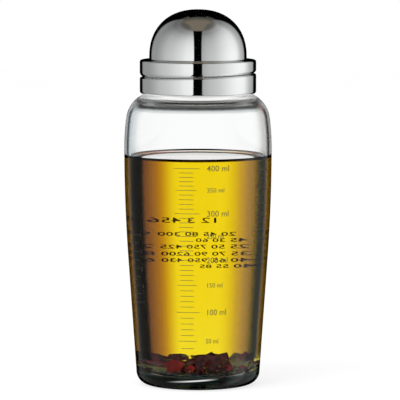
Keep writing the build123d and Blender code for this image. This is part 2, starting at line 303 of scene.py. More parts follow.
def makeGlass():
    look = clearGlass
    material, tree, shader = makeClear("clearBottleGlass", look)
    x, y, z = placeParts(tree)
    facing = facingNode(tree)
    onLeft = mathNode(tree, "LESS_THAN", x, 0.0)
    atFront = mathNode(tree, "LESS_THAN", y, 0.0)
    outer = addNode(tree, "ShaderNodeAttribute", attribute_name="outerWall").outputs["Fac"]
    # what the glass mirrors
    shown = mathNode(tree, "MAXIMUM", smoothStep(tree, z, *look["heelShine"], look["heelShineLeast"]),
                     smoothStep(tree, x, *look["shineSide"]))
    shine = mixNode(tree, shown, black, rampNode(tree, facing, look["shineStops"]))
    # painted shade: the walls' dark edges, full and empty
    filledShade = rampNode(tree, facing, look["filledEdgeShade"])
    full = mixNode(tree, onLeft, filledShade, tinted(tree, filledShade, rampNode(tree, facing, look["leftEdgeShade"])))
    raised = mathNode(tree, "ADD", z, times(tree, y, look["fillTilt"]))
    wall = mixNode(tree, smoothStep(tree, raised, *look["fillHeight"]), full,
                   rampNode(tree, facing, look["emptyEdgeShade"]))
    wall = mixNode(tree, smoothStep(tree, z, *look["crownClear"], 0.0, look["crownShare"]), wall, white)
    # the painted dark rings of the crown
    foot, top = look["crownHeights"]
    rise = mathNode(tree, "DIVIDE", mathNode(tree, "SUBTRACT", z, foot), top - foot)
    sideways = mathNode(tree, "ABSOLUTE", x)
    for stops, sides in ((look["crownRingShade"], look["ringSides"]), (look["upperRingShade"], look["upperSides"])):
        share = times(tree, atFront, smoothStep(tree, sideways, *sides, 1.0, look["ringSideShare"]))
        wall = mixNode(tree, share, wall, tinted(tree, wall, rampNode(tree, rise, stops)))
    wall = mixNode(tree, smoothStep(tree, z, *look["spiceHeight"]), white, wall)
    edge = mixNode(tree, outer, white, wall)
    # painted shade that darkens the base, by height
    baseShade = rampNode(tree, mathNode(tree, "DIVIDE", z, look["baseHeight"]), look["baseShadeStops"])
    # painted light: the glass glows on the crown's top and in a streak on the heel
    glow = times(tree, smoothStep(tree, z, *look["crownTop"], 0.0, look["crownPaintedGlow"]),
                 smoothStep(tree, facing, *look["crownEdge"], 1.0, look["crownEdgeShare"]))
    sloped = mathNode(tree, "SUBTRACT", z, times(tree, x, look["streakSlope"]))
    streak = times(tree, within(tree, sloped, *look["heelStreak"]), within(tree, x, *look["streakSides"]))
    streak = times(tree, times(tree, streak, look["heelPaintedGlow"]), atFront)
    feed(tree, shader, {
        "Specular Tint": shine,
        "Base Color": tinted(tree, baseShade, edge),
        "Emission Color": white,
        "Emission Strength": times(tree, mathNode(tree, "ADD", glow, streak), outer),
    })
    noiseBump(tree, shader, look["waveScale"], look["waveStrength"], look["waveDepth"], look["waveDetail"])
    return material


goldenOil = {
    "ior": 1.47, "tint": (0.978, 0.915, 0.0), "tintDensity": 70, "shine": (0.04, 0.04, 0.04),
    # painted shade in dark lines where it climbs the wall: above this height over its level, and a ring round
    # its level part
    "shadeLineColor": (0.001, 0.001, 0.001), "lineFoot": 0.000755, "lineBlur": 0.00004, "lineTilt": 0.00315,
    "ring": (0.0305, 0.0310, 0.0350, 0.0355), "ringDark": 0.97, "ringFoot": -0.00005,
    # both fainter at the back's sides
    "faintSides": (0.006, 0.020), "faintBack": (0.0, 0.012), "faint": 0.4,
    # a painted reflection: the level part glows like the white studio it mirrors at a low glance
    "sheen": (0.93, 0.93, 0.92), "sheenShare": 0.75, "sheenFacing": (0.80, 0.90),
}


def makeOil():
    look = goldenOil
    material, tree, shader = makeClear("goldenDressing", look)
    feed(tree, shader, {"Base Color": white, "Specular Tint": look["shine"]})
    x, y, z = placeParts(tree)
    over = mathNode(tree, "SUBTRACT", z, dressing["level"])
    reach = axisReach(tree, x, y)
    # the painted dark lines of shade
    rise = mathNode(tree, "SUBTRACT", over, times(tree, y, look["lineTilt"]))
    line = smoothStep(tree, rise, look["lineFoot"] - look["lineBlur"], look["lineFoot"] + look["lineBlur"])
    onTop = mathNode(tree, "GREATER_THAN", over, look["ringFoot"])
    ring = times(tree, times(tree, onTop, look["ringDark"]), within(tree, reach, *look["ring"]))
    atSide = smoothStep(tree, mathNode(tree, "ABSOLUTE", x), *look["faintSides"], 0.0, look["faint"])
    atBack = smoothStep(tree, y, *look["faintBack"])
    kept = mathNode(tree, "SUBTRACT", 1.0, times(tree, atSide, atBack))
    dark = times(tree, mathNode(tree, "MAXIMUM", line, ring), kept)
    # the painted sheen of the level part, an emission
    level = times(tree, onTop, smoothStep(tree, reach, *look["ring"][:2], 1.0, 0.0))
    low = smoothStep(tree, facingNode(tree), *look["sheenFacing"], 0.0, look["sheenShare"])
    sheen = addNode(tree, "ShaderNodeEmission", {"Color": look["sheen"]}).outputs["Emission"]
    lit = mixShader(tree, times(tree, level, low), shader.outputs["BSDF"], sheen)
    # a near-black matte shader painted where there is only shade
    inkAndPaintedShade = addNode(tree, "ShaderNodeBsdfDiffuse", {"Color": look["shadeLineColor"]}).outputs["BSDF"]
    feed(tree, tree.nodes["Material Output"], {"Surface": mixShader(tree, dark, lit, inkAndPaintedShade)})
    return material


mirrorSteel = {
    "color": (0.95, 0.95, 0.95),
    # smears by which it is more or less polished
    "smearScale": 60, "smearDetail": 4, "smearStops": ((0.35, (0.025,) * 3), (0.75, (0.07,) * 3)),
}


def makeMirrorSteel():
    material, tree, shader = newMaterial("polishedSteel")
    smear = noiseNode(tree, mirrorSteel["smearScale"], mirrorSteel["smearDetail"])
    polish = rampNode(tree, smear, mirrorSteel["smearStops"])
    feed(tree, shader, {"Base Color": mirrorSteel["color"], "Metallic": 1.0, "Roughness": polish})
    return material


# a grain is its scale, strength, depth in metres and detail
satinLook = {"color": (0.66, 0.66, 0.67), "roughness": 0.32, "grain": (1500, 0.15, 0.00003, 3)}


def makeSatinSteel():
    material, tree, shader = newMaterial("satinSteel")
    noiseBump(tree, shader, *satinLook["grain"])
    feed(tree, shader, {
        "Base Color": satinLook["color"], "Metallic": 1.0, "Roughness": satinLook["roughness"]})
    return material


mouldedLook = {
    "grain": (2600, 0.12, 0.00003, 3), "cloudScale": 45, "cloudDetail": 2, "ends": (0.3, 0.7),
    "glossSpread": 0.06,
    "whitePlastic": {"pale": (0.80, 0.80, 0.79), "dark": (0.74, 0.74, 0.735), "rough": 0.38, "clear": 0.0},
    "paleSilicone": {"pale": (0.70, 0.73, 0.73), "dark": (0.62, 0.65, 0.65), "rough": 0.55, "clear": 0.25},
}


def makeMoulded(name):
    # fine-grained moulded plastic or silicone, slightly uneven in colour and gloss
    look = mouldedLook[name]
    low, high = mouldedLook["ends"]
    material, tree, shader = newMaterial(name)
    noise = noiseBump(tree, shader, *mouldedLook["grain"])
    cloud = noiseNode(tree, mouldedLook["cloudScale"], mouldedLook["cloudDetail"])
    glossy, dull = look["rough"] - mouldedLook["glossSpread"], look["rough"] + mouldedLook["glossSpread"]
    feed(tree, shader, {
        "Base Color": rampNode(tree, cloud, ((low, look["dark"]), (high, look["pale"]))),
        "Roughness": rampNode(tree, noise, ((low, (glossy,) * 3), (high, (dull,) * 3))),
        "Transmission Weight": look["clear"],
    })
    return material


inkLook = {
    "grain": (3000, 0.2, 0.00002, 3), "ends": (0.35, 0.7), "rough": 0.6,
    # each ink's darkest and palest
    "darkInk": ((0.016, 0.013, 0.012), (0.05, 0.042, 0.036)),
    "brownInk": ((0.085, 0.036, 0.016), (0.14, 0.070, 0.036)),
    "oliveInk": ((0.13, 0.11, 0.015), (0.20, 0.17, 0.02)),
}


def makeInk(name):
    material, tree, shader = newMaterial(name)
    noise = noiseBump(tree, shader, *inkLook["grain"])
    shade = rampNode(tree, noise, tuple(zip(inkLook["ends"], inkLook[name])))
    feed(tree, shader, {"Base Color": shade, "Roughness": inkLook["rough"]})
    return material


driedLook = {
    "strength": 0.5, "depth": 0.0003, "detail": 6, "softness": 0.15, "softReach": 0.001,
    # mottles of each kind, their scale and how rough it is
    "driedChili": {"scale": 260, "rough": 0.75, "stops": (
        (0.25, (0.22, 0.012, 0.014)), (0.5, (0.55, 0.035, 0.04)), (0.75, (0.75, 0.07, 0.06)))},
    "driedDarkLeaf": {"scale": 320, "rough": 0.75, "stops": (
        (0.3, (0.02, 0.008, 0.012)), (0.5, (0.14, 0.04, 0.05)), (0.75, (0.34, 0.08, 0.11)))},
    "driedGreenLeaf": {"scale": 300, "rough": 0.75, "stops": (
        (0.25, (0.05, 0.06, 0.02)), (0.45, (0.36, 0.34, 0.11)), (0.7, (0.62, 0.54, 0.20)))},
    "paleSeed": {"scale": 500, "rough": 0.5, "stops": (
        (0.3, (0.35, 0.2, 0.06)), (0.6, (0.62, 0.45, 0.2)), (0.8, (0.8, 0.66, 0.4)))},
}


def makeDried(name):
    # dried leaf, skin or seed, mottled from piece to piece
    look = driedLook[name]
    material, tree, shader = newMaterial(name)
    noise = noiseBump(tree, shader, look["scale"], driedLook["strength"], driedLook["depth"],
                      driedLook["detail"])
    feed(tree, shader, {
        "Base Color": rampNode(tree, noise, look["stops"]), "Roughness": look["rough"],
        "Subsurface Weight": driedLook["softness"], "Subsurface Scale": driedLook["softReach"],
    })
    return material


# The dressing wets the wall, climbs it a little and overlaps the glass by a hair, so no air shows between
dressing = {
    "level": 0.1241, "wetting": 0.0001, "climb": 0.00175, "climbWidth": 0.0042, "climbSteps": 14,
    "climbFall": 0.24, "middle": 0.5,
}

glass = makeGlass()
oil = makeOil()
steel = makeMirrorSteel()
satinSteel = makeSatinSteel()
whitePlastic, silicone = makeMoulded("whitePlastic"), makeMoulded("paleSilicone")
darkInk, brownInk, oliveInk = makeInk("darkInk"), makeInk("brownInk"), makeInk("oliveInk")
chiliSkin, darkLeaf = makeDried("driedChili"), makeDried("driedDarkLeaf")
greenLeaf, paleSeed = makeDried("driedGreenLeaf"), makeDried("paleSeed")
print("materials made")


# Glass bottle
bottle = {
    "segments": 128,
    "pushUp": 0.0012, "ringRadius": 0.020, "baseRadius": 0.03325, "heelRadius": 0.007,
    "sideRadius": 0.0381, "sideHeight": 0.070, "bellyRadius": 0.04015, "bellyHeight": 0.129,
    "shoulderRadius": 0.039, "shoulderHeight": 0.146,
    "neckRadius": 0.0275, "neckFoot": 0.1592, "neckCove": 0.0015, "rimHeight": 0.1672, "rimRound": 0.0008,
    "floorHeight": 0.007, "floorRadius": 0.0265, "floorCorner": 0.009,
    "sideWall": 0.00355, "bellyWall": 0.0033, "shoulderWall": 0.0034, "neckWall": 0.0032,
    # points along each stretch of its outlines, and shares of the way up the straight side
    "pushUpSteps": 10, "heelSteps": 14, "sideParts": (0.25, 0.4, 0.55, 0.7, 0.85, 1), "sideSteps": 14,
    "shoulderSteps": 8, "crownSteps": 24, "coveSteps": 6, "rimSteps": 5,
    "boreSteps": 20, "lowerSteps": 24, "cornerSteps": 16,
    # least step up from the cavity's corner to the next point, and the height where glassOutline starts
    "cornerGap": 0.0004, "outlineFoot": 0.001,
}


def bottleOutside():
    up = math.pi / 2
    foot, side = (bottle["baseRadius"], 0.0), (bottle["sideRadius"], bottle["sideHeight"])
    belly = (bottle["bellyRadius"], bottle["bellyHeight"])
    shoulder = (bottle["shoulderRadius"], bottle["shoulderHeight"])
    centre, ring = (0.0, bottle["pushUp"]), (bottle["ringRadius"], 0.0)
    points = [centre] + arcTo(centre, 0.0, ring, bottle["pushUpSteps"])[0]
    points += rounded(ring, foot, side, bottle["heelRadius"], bottle["heelSteps"])
    points += [(foot[0] + (side[0] - foot[0]) * part, side[1] * part) for part in bottle["sideParts"]]
    down = arcTo(belly, -up, side, bottle["sideSteps"])[0]
    points += down[-2::-1] + [belly]
    low, heading = arcTo(belly, up, shoulder, bottle["shoulderSteps"])
    neckFoot = (bottle["neckRadius"], bottle["neckFoot"])
    return points + low + arcTo(shoulder, heading, neckFoot, bottle["crownSteps"])[0]


glassOutline = [point for point in bottleOutside() if point[1] > bottle["outlineFoot"]]


def glassRadius(height):
    # radius of the outer wall at a height
    for (r0, z0), (r1, z1) in zip(glassOutline, glassOutline[1:]):
        if z0 <= height <= z1 and z1 > z0:
            return r0 + (r1 - r0) * (height - z0) / (z1 - z0)
    return bottle["neckRadius"]


def bottleCavity(grown=0.0):
    # from the rim down to the axis; grown moves the wall out, as for a liquid that wets it
    up = math.pi / 2
    bore = bottle["neckRadius"] - bottle["neckWall"] + grown
    floor = (bottle["floorRadius"] + grown, bottle["floorHeight"] - grown)
    side = (bottle["sideRadius"] - bottle["sideWall"] + grown, bottle["sideHeight"])
    belly = (bottle["bellyRadius"] - bottle["bellyWall"] + grown, bottle["bellyHeight"])
    shoulder = (bottle["shoulderRadius"] - bottle["shoulderWall"] + grown, bottle["shoulderHeight"])
    low, heading = arcTo(belly, up, shoulder, bottle["shoulderSteps"])
    boreFoot = (bore, bottle["neckFoot"] - bottle["shoulderWall"])
    high = arcTo(shoulder, heading, boreFoot, bottle["boreSteps"])[0]
    down, heading = arcTo(belly, -up, side, bottle["sideSteps"])
    lower = arcTo(side, heading, floor, bottle["lowerSteps"])[0]
    corner = rounded(lower[-3], floor, (0.0, floor[1]), bottle["floorCorner"], bottle["cornerSteps"])
    kept = [point for point in lower if point[1] > corner[0][1] + bottle["cornerGap"]]
    return high[::-1] + low[::-1] + [belly] + down + kept + corner + [(0.0, floor[1])]


def makeBottle():
    outside = bottleOutside()
    bore = bottle["neckRadius"] - bottle["neckWall"]
    rimEdge, boreEdge = (bottle["neckRadius"], bottle["rimHeight"]), (bore, bottle["rimHeight"])
    neckFoot = outside.pop()
    cove = rounded(outside[-2], neckFoot, rimEdge, bottle["neckCove"], bottle["coveSteps"])
    while outside[-1][1] > cove[0][1] or outside[-1][0] < cove[0][0]:
        outside.pop()
    neck = [(bottle["neckRadius"], bottle["neckFoot"]), rimEdge, boreEdge, (bore, bottle["neckFoot"])]
    rim = softened(neck, {1: bottle["rimRound"], 2: bottle["rimRound"]}, bottle["rimSteps"])[1:-1]
    piece = turned("bottleGlass", outside + cove + rim + bottleCavity(), bottle["segments"])
    # 1 on the outer wall and 0 on the cavity, for the painted edge shade and glow of the glass
    mark = piece.data.attributes.new("outerWall", "FLOAT", "POINT")
    for vert, entry in zip(piece.data.vertices, mark.data):
        middle = glassRadius(vert.co.z) - bottle["neckWall"] / 2
        entry.value = float(math.hypot(vert.co.x, vert.co.y) > middle)
    return piece


dressed(makeBottle(), "bottle", glass, "clear_glass", "glass_bottle")
print("bottle turned")


def makeDressing():
    top = dressing["level"] + dressing["climb"]
    wall = [point for point in bottleCavity(dressing["wetting"]) if point[1] < top]
    wallRadius = bottle["bellyRadius"] - bottle["bellyWall"] + dressing["wetting"]
    surface = [(0.0, dressing["level"]), (wallRadius * dressing["middle"], dressing["level"])]
    for step in range(dressing["climbSteps"] + 1):
        inward = dressing["climbWidth"] * (1 - step / dressing["climbSteps"])
        climbed = dressing["climb"] * math.exp(-inward / (dressing["climbWidth"] * dressing["climbFall"]))
        surface.append((wallRadius - inward, dressing["level"] + climbed))
    return turned("dressingOil", surface + wall, bottle["segments"])


dressed(makeDressing(), "bottle", oil, "dressing", "oil_dressing")
print("dressing poured")

# Steel cap and collar, whose seam slopes up towards +X
lid = {
    "segments": 128, "bandRadius": 0.03165, "wall": 0.0008,
    "topHeight": 0.2046, "domeRadius": 0.0265, "domeFoot": 0.1786, "domeExponent": 2.25, "domeSteps": 30,
    "ledgeHeight": 0.1773, "ledgeCove": 0.0009, "ledgeCorner": 0.0011,
    "bandEdge": 0.0022, "mouthRadius": 0.02935,
    "seamHeight": 0.16895, "seamGap": 0.0003, "seamSlope": math.tan(math.radians(1.81)),
    "collarFoot": 0.1588, "collarEdge": 0.0016, "collarTopEdge": 0.0009,
    "collarTopHole": 0.0293, "collarFootHole": 0.02985,
    "coveSteps": 6, "edgeSteps": 8, "collarSteps": 7,
    # rings on the cap's band above its edge, and how far from the ledge and from the foot the slope ends
    "bandRings": (0.006, 0.004), "capLevel": 0.0015, "collarLevel": 0.002,
}


def domeOutline(inset):
    points = []
    for step in range(lid["domeSteps"] + 1):
        turn = math.pi / 2 * step / lid["domeSteps"]
        across = max(math.cos(turn), 0.0) ** (2 / lid["domeExponent"])
        up = math.sin(turn) ** (2 / lid["domeExponent"])
        points.append(((lid["domeRadius"] - inset) * across if step < lid["domeSteps"] else 0.0,
                       lid["domeFoot"] + (lid["topHeight"] - lid["domeFoot"] - inset) * up))
    return points


def slopeSeam(piece, levelHeight):
    # shears the piece so that its seam slopes and its far edge stays level
    for vert in piece.data.vertices:
        share = (vert.co.z - levelHeight) / (lid["seamHeight"] - levelHeight)
        vert.co.z += vert.co.x * lid["seamSlope"] * min(max(share, 0.0), 1.0)


def makeCapShell():
    foot, ledge = lid["seamHeight"] + lid["seamGap"] / 2, lid["ledgeHeight"]
    dome, band, inner = lid["domeRadius"], lid["bandRadius"], lid["bandRadius"] - lid["wall"]
    outside = domeOutline(0.0)[::-1]
    outside += rounded(outside[-1], (dome, ledge), (band, ledge), lid["ledgeCove"], lid["coveSteps"])
    outside += rounded((dome, ledge), (band, ledge), (band, foot), lid["ledgeCorner"], lid["coveSteps"])
    outside += [(band, foot + height) for height in lid["bandRings"]]
    mouth = [(lid["mouthRadius"], foot), (lid["mouthRadius"], foot + lid["wall"])]
    outside += rounded((band, ledge), (band, foot), mouth[0], lid["bandEdge"], lid["edgeSteps"])
    inside = rounded(mouth[-1], (inner, foot + lid["wall"]), (inner, ledge),
                     lid["bandEdge"] - lid["wall"], lid["coveSteps"])
    inside += [(inner, ledge - lid["wall"]), (dome - lid["wall"], ledge - lid["wall"])]
    piece = turned("capSteel", outside + mouth + inside + domeOutline(lid["wall"]), lid["segments"])
    slopeSeam(piece, ledge - lid["capLevel"])
    return piece


def makeCollarShell():
    foot, top, wall = lid["collarFoot"], lid["seamHeight"] - lid["seamGap"] / 2, lid["wall"]
    band, inner = lid["bandRadius"], lid["bandRadius"] - wall
    corners = [
        (lid["collarTopHole"], top), (band, top), (band, foot), (lid["collarFootHole"], foot),
        (lid["collarFootHole"], foot + wall), (inner, foot + wall),
        (inner, top - wall), (lid["collarTopHole"], top - wall),
    ]
    edge, topEdge = lid["collarEdge"], lid["collarTopEdge"]
    rounds = {1: topEdge, 2: edge, 5: edge - wall, 6: topEdge - wall}
    piece = turned("collarSteel", softened(corners, rounds, lid["collarSteps"]), lid["segments"], closed=True)
    slopeSeam(piece, foot + lid["collarLevel"])
    return piece


dressed(makeCapShell(), "cap", steel, "polished_steel", "cap_shell")
dressed(makeCollarShell(), "lid", steel, "polished_steel", "collar_shell")
print("lid turned")

# Print on the glass: a millilitre scale, and plain numbers in columns
printLayer = {
    # how far the ink stands out of the glass and reaches into it
    "proud": 0.00004, "sunk": 0.00003,
    "depth": 1e-4, "sharpAngle": 30, "ruleCuts": 7, "leastRun": 1e-5,
    # figures are made bolder by this much, and this share of their size lies below their middle
    "bolder": 0.00003, "curveSteps": 2, "middle": 0.34,
}
scaleTicks = {
    "first": 30, "last": 400, "step": 10,
    "tens": (-0.0104, -0.0025), "fifties": (-0.0120, -0.0008), "hundreds": (-0.0131, 0.0009),
    "thickness": 0.00031, "labelPlace": 0.0047, "sizes": {"hundreds": 0.0046, "fifties": 0.0036},
    "heights": {30: 0.0196, 50: 0.02765, 100: 0.04337, 150: 0.0581, 200: 0.0717, 250: 0.0847,
                300: 0.0969, 350: 0.1095, 400: 0.1212},
}


def tickHeight(volume):
    known = sorted(scaleTicks["heights"].items())
    for (v0, z0), (v1, z1) in zip(known, known[1:]):
        if v0 <= volume <= v1:
            return z0 + (z1 - z0) * (volume - v0) / (v1 - v0)


def wrapped(name, bm, turn, inkAndPaintedShade):
    # bends flat print onto the glass, turn degrees from the front: it is drawn as x along the girth,
    # y up and z out
    for vert in bm.verts:
        height = vert.co.y
        radius = glassRadius(height)
        angle = math.radians(turn - 90) + vert.co.x / bottle["bellyRadius"]
        radius += printLayer["proud"] if vert.co.z > 0 else -printLayer["sunk"]
        vert.co = (radius * math.cos(angle), radius * math.sin(angle), height)
    bmesh.ops.recalc_face_normals(bm, faces=bm.faces)
    dressed(finished(name, bm, printLayer["sharpAngle"]), "bottle", inkAndPaintedShade, "dark_spice")


def addRule(bm, left, right, height):
    # a thin printed line, cut along its length so that it bends with the glass
    size = Matrix.Diagonal((right - left, scaleTicks["thickness"], printLayer["depth"], 1))
    place = Matrix.Translation(((left + right) / 2, height, 0)) @ size
    cube = bmesh.ops.create_cube(bm, size=1, matrix=place)
    edges = [edge for edge in {e for vert in cube["verts"] for e in vert.link_edges}
             if abs(edge.verts[0].co.x - edge.verts[1].co.x) > printLayer["leastRun"]]
    bmesh.ops.subdivide_edges(bm, edges=edges, cuts=printLayer["ruleCuts"], use_grid_fill=True)


def addFigures(bm, text, left, height, size):
    # plain figures as a thin solid, their middle at height
    font = bpy.data.curves.new("figures", "FONT")
    font.body = text
    font.size = size
    font.offset = printLayer["bolder"]
    font.resolution_u = printLayer["curveSteps"]
    font.extrude = printLayer["depth"] / 2
    holder = bpy.data.objects.new("figures", font)
    mesh = bpy.data.meshes.new_from_object(holder)
    mesh.transform(Matrix.Translation((left, height - size * printLayer["middle"], 0)))
    bm.from_mesh(mesh)
    bpy.data.objects.remove(holder)
    bpy.data.curves.remove(font)
    bpy.data.meshes.remove(mesh)


def makeScale():
    ticks, figures = bmesh.new(), bmesh.new()
    for volume in range(scaleTicks["first"], scaleTicks["last"] + 1, scaleTicks["step"]):
        kind = "hundreds" if volume % 100 == 0 else "fifties" if volume % 50 == 0 else "tens"
        height = tickHeight(volume)
        addRule(ticks, *scaleTicks[kind], height)
        if kind in scaleTicks["sizes"]:
            size = scaleTicks["sizes"][kind]
            addFigures(figures, f"{volume} ml", scaleTicks["labelPlace"], height, size)
    wrapped("scaleTicks", ticks, 0, oliveInk)
    wrapped("scaleFigures", figures, 0, oliveInk)


# The back and sides carry columns of plain numbers and rules
tables = {
    "backTurn": 180, "backStart": -0.0168,
    # rows of numbers: height, size, shift to the side and the numbers
    "backRows": (
        (0.0892, 0.0040, 0.0122, "12 3 456"), (0.0818, 0.0030, 0.0090, "20 45 80 300 96"),
        (0.0785, 0.0028, 0.0074, "45 30 60"), (0.0750, 0.0030, 0.0072, "25 50 750 425 26"),
        (0.0712, 0.0030, 0.0070, "35 70 90 6200 84"), (0.0677, 0.0030, 0.0070, "40 65 950 430 65"),
        (0.0644, 0.0028, 0.0066, "40 55 85"),
    ),
    "sideTurns": (-62, 58), "sideSize": 0.0028, "sideLines": 9, "sidePitch": 0.0046,
    "sideFoot": (0.047, 0.082), "ruleSpan": (-0.0045, 0.0045), "sideGap": 0.0012,
}


def makeTables():
    back = bmesh.new()
    for height, size, shift, row in tables["backRows"]:
        addFigures(back, row, tables["backStart"] + shift, height, size)
    wrapped("backNumbers", back, tables["backTurn"], brownInk)
    left = tables["ruleSpan"][1] + tables["sideGap"]
    for turn, foot, name in zip(tables["sideTurns"], tables["sideFoot"], ("leftRules", "rightRules")):
        rules = bmesh.new()
        for line in range(tables["sideLines"]):
            height = foot + tables["sidePitch"] * line
            addRule(rules, *tables["ruleSpan"], height)
            if line % 2 == 0:
                addFigures(rules, str(line + 1), left, height, tables["sideSize"])
        wrapped(name, rules, turn, darkInk)


makeScale()
makeTables()
print("print laid on the glass")

# Spices on the bottle's floor
spices = {
    "seed": 7, "floor": 0.0078, "top": 0.0215,
    # the pile: its radius, how it thins upwards, its gap to the wall, and its height with heaps and ripples
    "pileRadius": 0.0285, "pileThinning": 0.8, "pileGap": 0.0022, "pileHeight": 0.0140,
    "heaps": 0.0018, "heapWaves": (170, 140), "heapShift": 1.2, "ripples": 0.0013, "rippleWaves": (410, 260),
    # the wall: its reach at the floor, its slope and how far to the sides a place on it may go
    "floorReach": 0.0183, "wallSlope": 0.12, "sideMost": 0.97,
    # flakes: lean, curl and raggedness, and the same for those that lie against the wall
    "cells": 3, "lean": 0.35, "curlSpread": (0.4, 1.4), "curlAcross": 0.5, "taper": 1.05,
    "ragged": (0.09, 0.07, 0.05), "sharpAngle": 50,
    "keyRagged": 0.08, "keyCorners": 0.6, "keyFoot": 0.0095, "keyLift": 0.8, "keyInward": (0.0011, 0.0016),
    # keys are pieces that lie against the front of the wall: place across, height, width, tallness and lean
    "chili": {
        "count": 60, "size": (0.0045, 0.0085), "thickness": 0.0005, "curl": 0.22, "narrow": 0.8, "keys": (
            (-0.0122, 0.0117, 0.0098, 0.0100, -0.25), (0.0145, 0.0120, 0.0052, 0.0028, 0.2),
            (0.0228, 0.0172, 0.0050, 0.0046, 0.6), (-0.0225, 0.0165, 0.0060, 0.0050, 0.3),
            (-0.0040, 0.0120, 0.0046, 0.0040, 0.7))},
    "dark": {
        "count": 120, "size": (0.004, 0.0085), "thickness": 0.0004, "curl": 0.4, "narrow": 0.7, "keys": (
            (0.0014, 0.0134, 0.0050, 0.0052, 0.3), (0.0035, 0.0178, 0.0085, 0.0042, 0.1),
            (0.0110, 0.0176, 0.0095, 0.0050, 0.15), (-0.0098, 0.0182, 0.0100, 0.0040, 0.05),
            (-0.0205, 0.0130, 0.0055, 0.0050, 0.5), (0.0085, 0.0128, 0.0080, 0.0050, -0.1),
            (-0.0175, 0.0172, 0.0070, 0.0032, -0.2), (-0.0030, 0.0162, 0.0060, 0.0034, 0.2),
            (0.0245, 0.0160, 0.0040, 0.0060, 0.2))},
    "green": {
        "count": 90, "size": (0.0035, 0.008), "thickness": 0.00035, "curl": 0.35, "narrow": 0.45, "keys": (
            (0.0190, 0.0155, 0.0070, 0.0085, 0.4), (-0.0215, 0.0103, 0.0090, 0.0034, -0.1),
            (0.0245, 0.0125, 0.0050, 0.0050, 0.2), (-0.0180, 0.0106, 0.0060, 0.0032, 0.1))},
    # and here place across, height and size, with the proportions of a seed
    "seeds": {
        "count": 46, "size": (0.0014, 0.0024), "lean": 0.6, "form": (1.35, 0.85, 0.7), "inward": 0.00075,
        "subdivisions": 2, "sharpAngle": 60, "keys": (
            (-0.0091, 0.0108, 0.0011), (-0.0041, 0.0107, 0.0013), (0.0033, 0.0126, 0.0011),
            (0.0094, 0.0108, 0.0011))},
    # and here place across, height, length and lean, and the shares of the thickness at both ends
    "stalks": {
        "count": 26, "size": (0.004, 0.009), "thickness": 0.0003, "lean": 0.5, "inward": 0.0007,
        "sides": 6, "ends": (1.0, 0.5), "keyEnds": (0.6, 0.4), "sharpAngle": 60, "keys": (
            (-0.0047, 0.0152, 0.0050, 0.42), (0.0150, 0.0165, 0.0040, -0.3))},
}
chance = random.Random(spices["seed"])
keyChance = random.Random(spices["seed"])


def pileTop(x, y):
    # uneven top of the pile, with dips and heaps
    heap = math.sin(spices["heapWaves"][0] * x + spices["heapShift"]) * math.cos(spices["heapWaves"][1] * y)
    ripple = math.sin(spices["rippleWaves"][0] * x + spices["rippleWaves"][1] * y)
    return spices["pileHeight"] + spices["heaps"] * heap + spices["ripples"] * ripple


def wallReach(height):
    # inner radius of the bottle down by its rounded floor
    rise = max(height - bottle["floorHeight"], 0.0)
    corner = bottle["floorCorner"]
    bow = math.sqrt(max(corner ** 2 - max(corner - rise, 0.0) ** 2, 0.0))
    return spices["floorReach"] + bow + spices["wallSlope"] * rise


def byTheWall(x, height, inward):
    # the point at x and height on the front of the wall, moved inward
    reach = wallReach(height) - inward
    most = reach * spices["sideMost"]
    x = max(min(x, most), -most)
    return Vector((x, -math.sqrt(reach * reach - x * x), height))


def spicePlace():
    # a random place in the pile, inside the cavity's rounded floor
    while True:
        radius = spices["pileRadius"] * math.sqrt(chance.random())
        angle = math.tau * chance.random()
        x, y = radius * math.cos(angle), radius * math.sin(angle)
        share = chance.random() ** spices["pileThinning"]
        height = spices["floor"] + (pileTop(x, y) - spices["floor"]) * share
        if radius < wallReach(height) - spices["pileGap"]:
            return Matrix.Translation((x, y, height))


def randomTurn(lean):
    turn = Matrix.Rotation(chance.uniform(0, math.tau), 4, "Z")
    tip = Matrix.Rotation(chance.gauss(0, lean), 4, "X") @ Matrix.Rotation(chance.gauss(0, lean), 4, "Y")
    return turn @ tip


def flakeGrid(bm):
    cells = spices["cells"]
    return bmesh.ops.create_grid(bm, x_segments=cells, y_segments=cells, size=0.5)["verts"]


def makeFlakes(name, kind, material, slotName, node):
    # torn, curled flakes of skin or leaf
    alongRagged, acrossRagged, curlRagged = spices["ragged"]
    bm = bmesh.new()
    for _ in range(kind["count"]):
        size = chance.uniform(*kind["size"])
        place = spicePlace() @ randomTurn(spices["lean"])
        verts = flakeGrid(bm)
        curl = kind["curl"] * chance.uniform(*spices["curlSpread"])
        for vert in verts:
            x, y = vert.co.x, vert.co.y
            taper = 1 - spices["taper"] * abs(x)
            vert.co = Vector((
                x + chance.uniform(-alongRagged, alongRagged),
                y * kind["narrow"] * taper + chance.uniform(-acrossRagged, acrossRagged),
                curl * (x * x + spices["curlAcross"] * y * y) + chance.uniform(-curlRagged, curlRagged),
            )) * size
        bmesh.ops.transform(bm, matrix=place, verts=verts)
    for x, height, width, tallness, lean in kind["keys"]:
        turn = Matrix.Rotation(lean, 2)
        for vert in flakeGrid(bm):
            u, v = vert.co.x, vert.co.y
            inward = 1 - spices["keyCorners"] * abs(u * v)
            across = (u * inward + keyChance.uniform(-spices["keyRagged"], spices["keyRagged"])) * width
            up = (v * inward + keyChance.uniform(-spices["keyRagged"], spices["keyRagged"])) * tallness
            along = turn @ Vector((across, up))
            level = height + along.y
            level += spices["keyLift"] * max(spices["keyFoot"] - level, 0.0)
            vert.co = byTheWall(x + along.x, level, keyChance.uniform(*spices["keyInward"]))
    bmesh.ops.solidify(bm, geom=bm.faces[:], thickness=kind["thickness"])
    for vert in bm.verts:
        vert.co.z = min(vert.co.z, spices["top"])
    bmesh.ops.recalc_face_normals(bm, faces=bm.faces)
    dressed(finished(name, bm, spices["sharpAngle"]), "bottle", material, slotName, node)


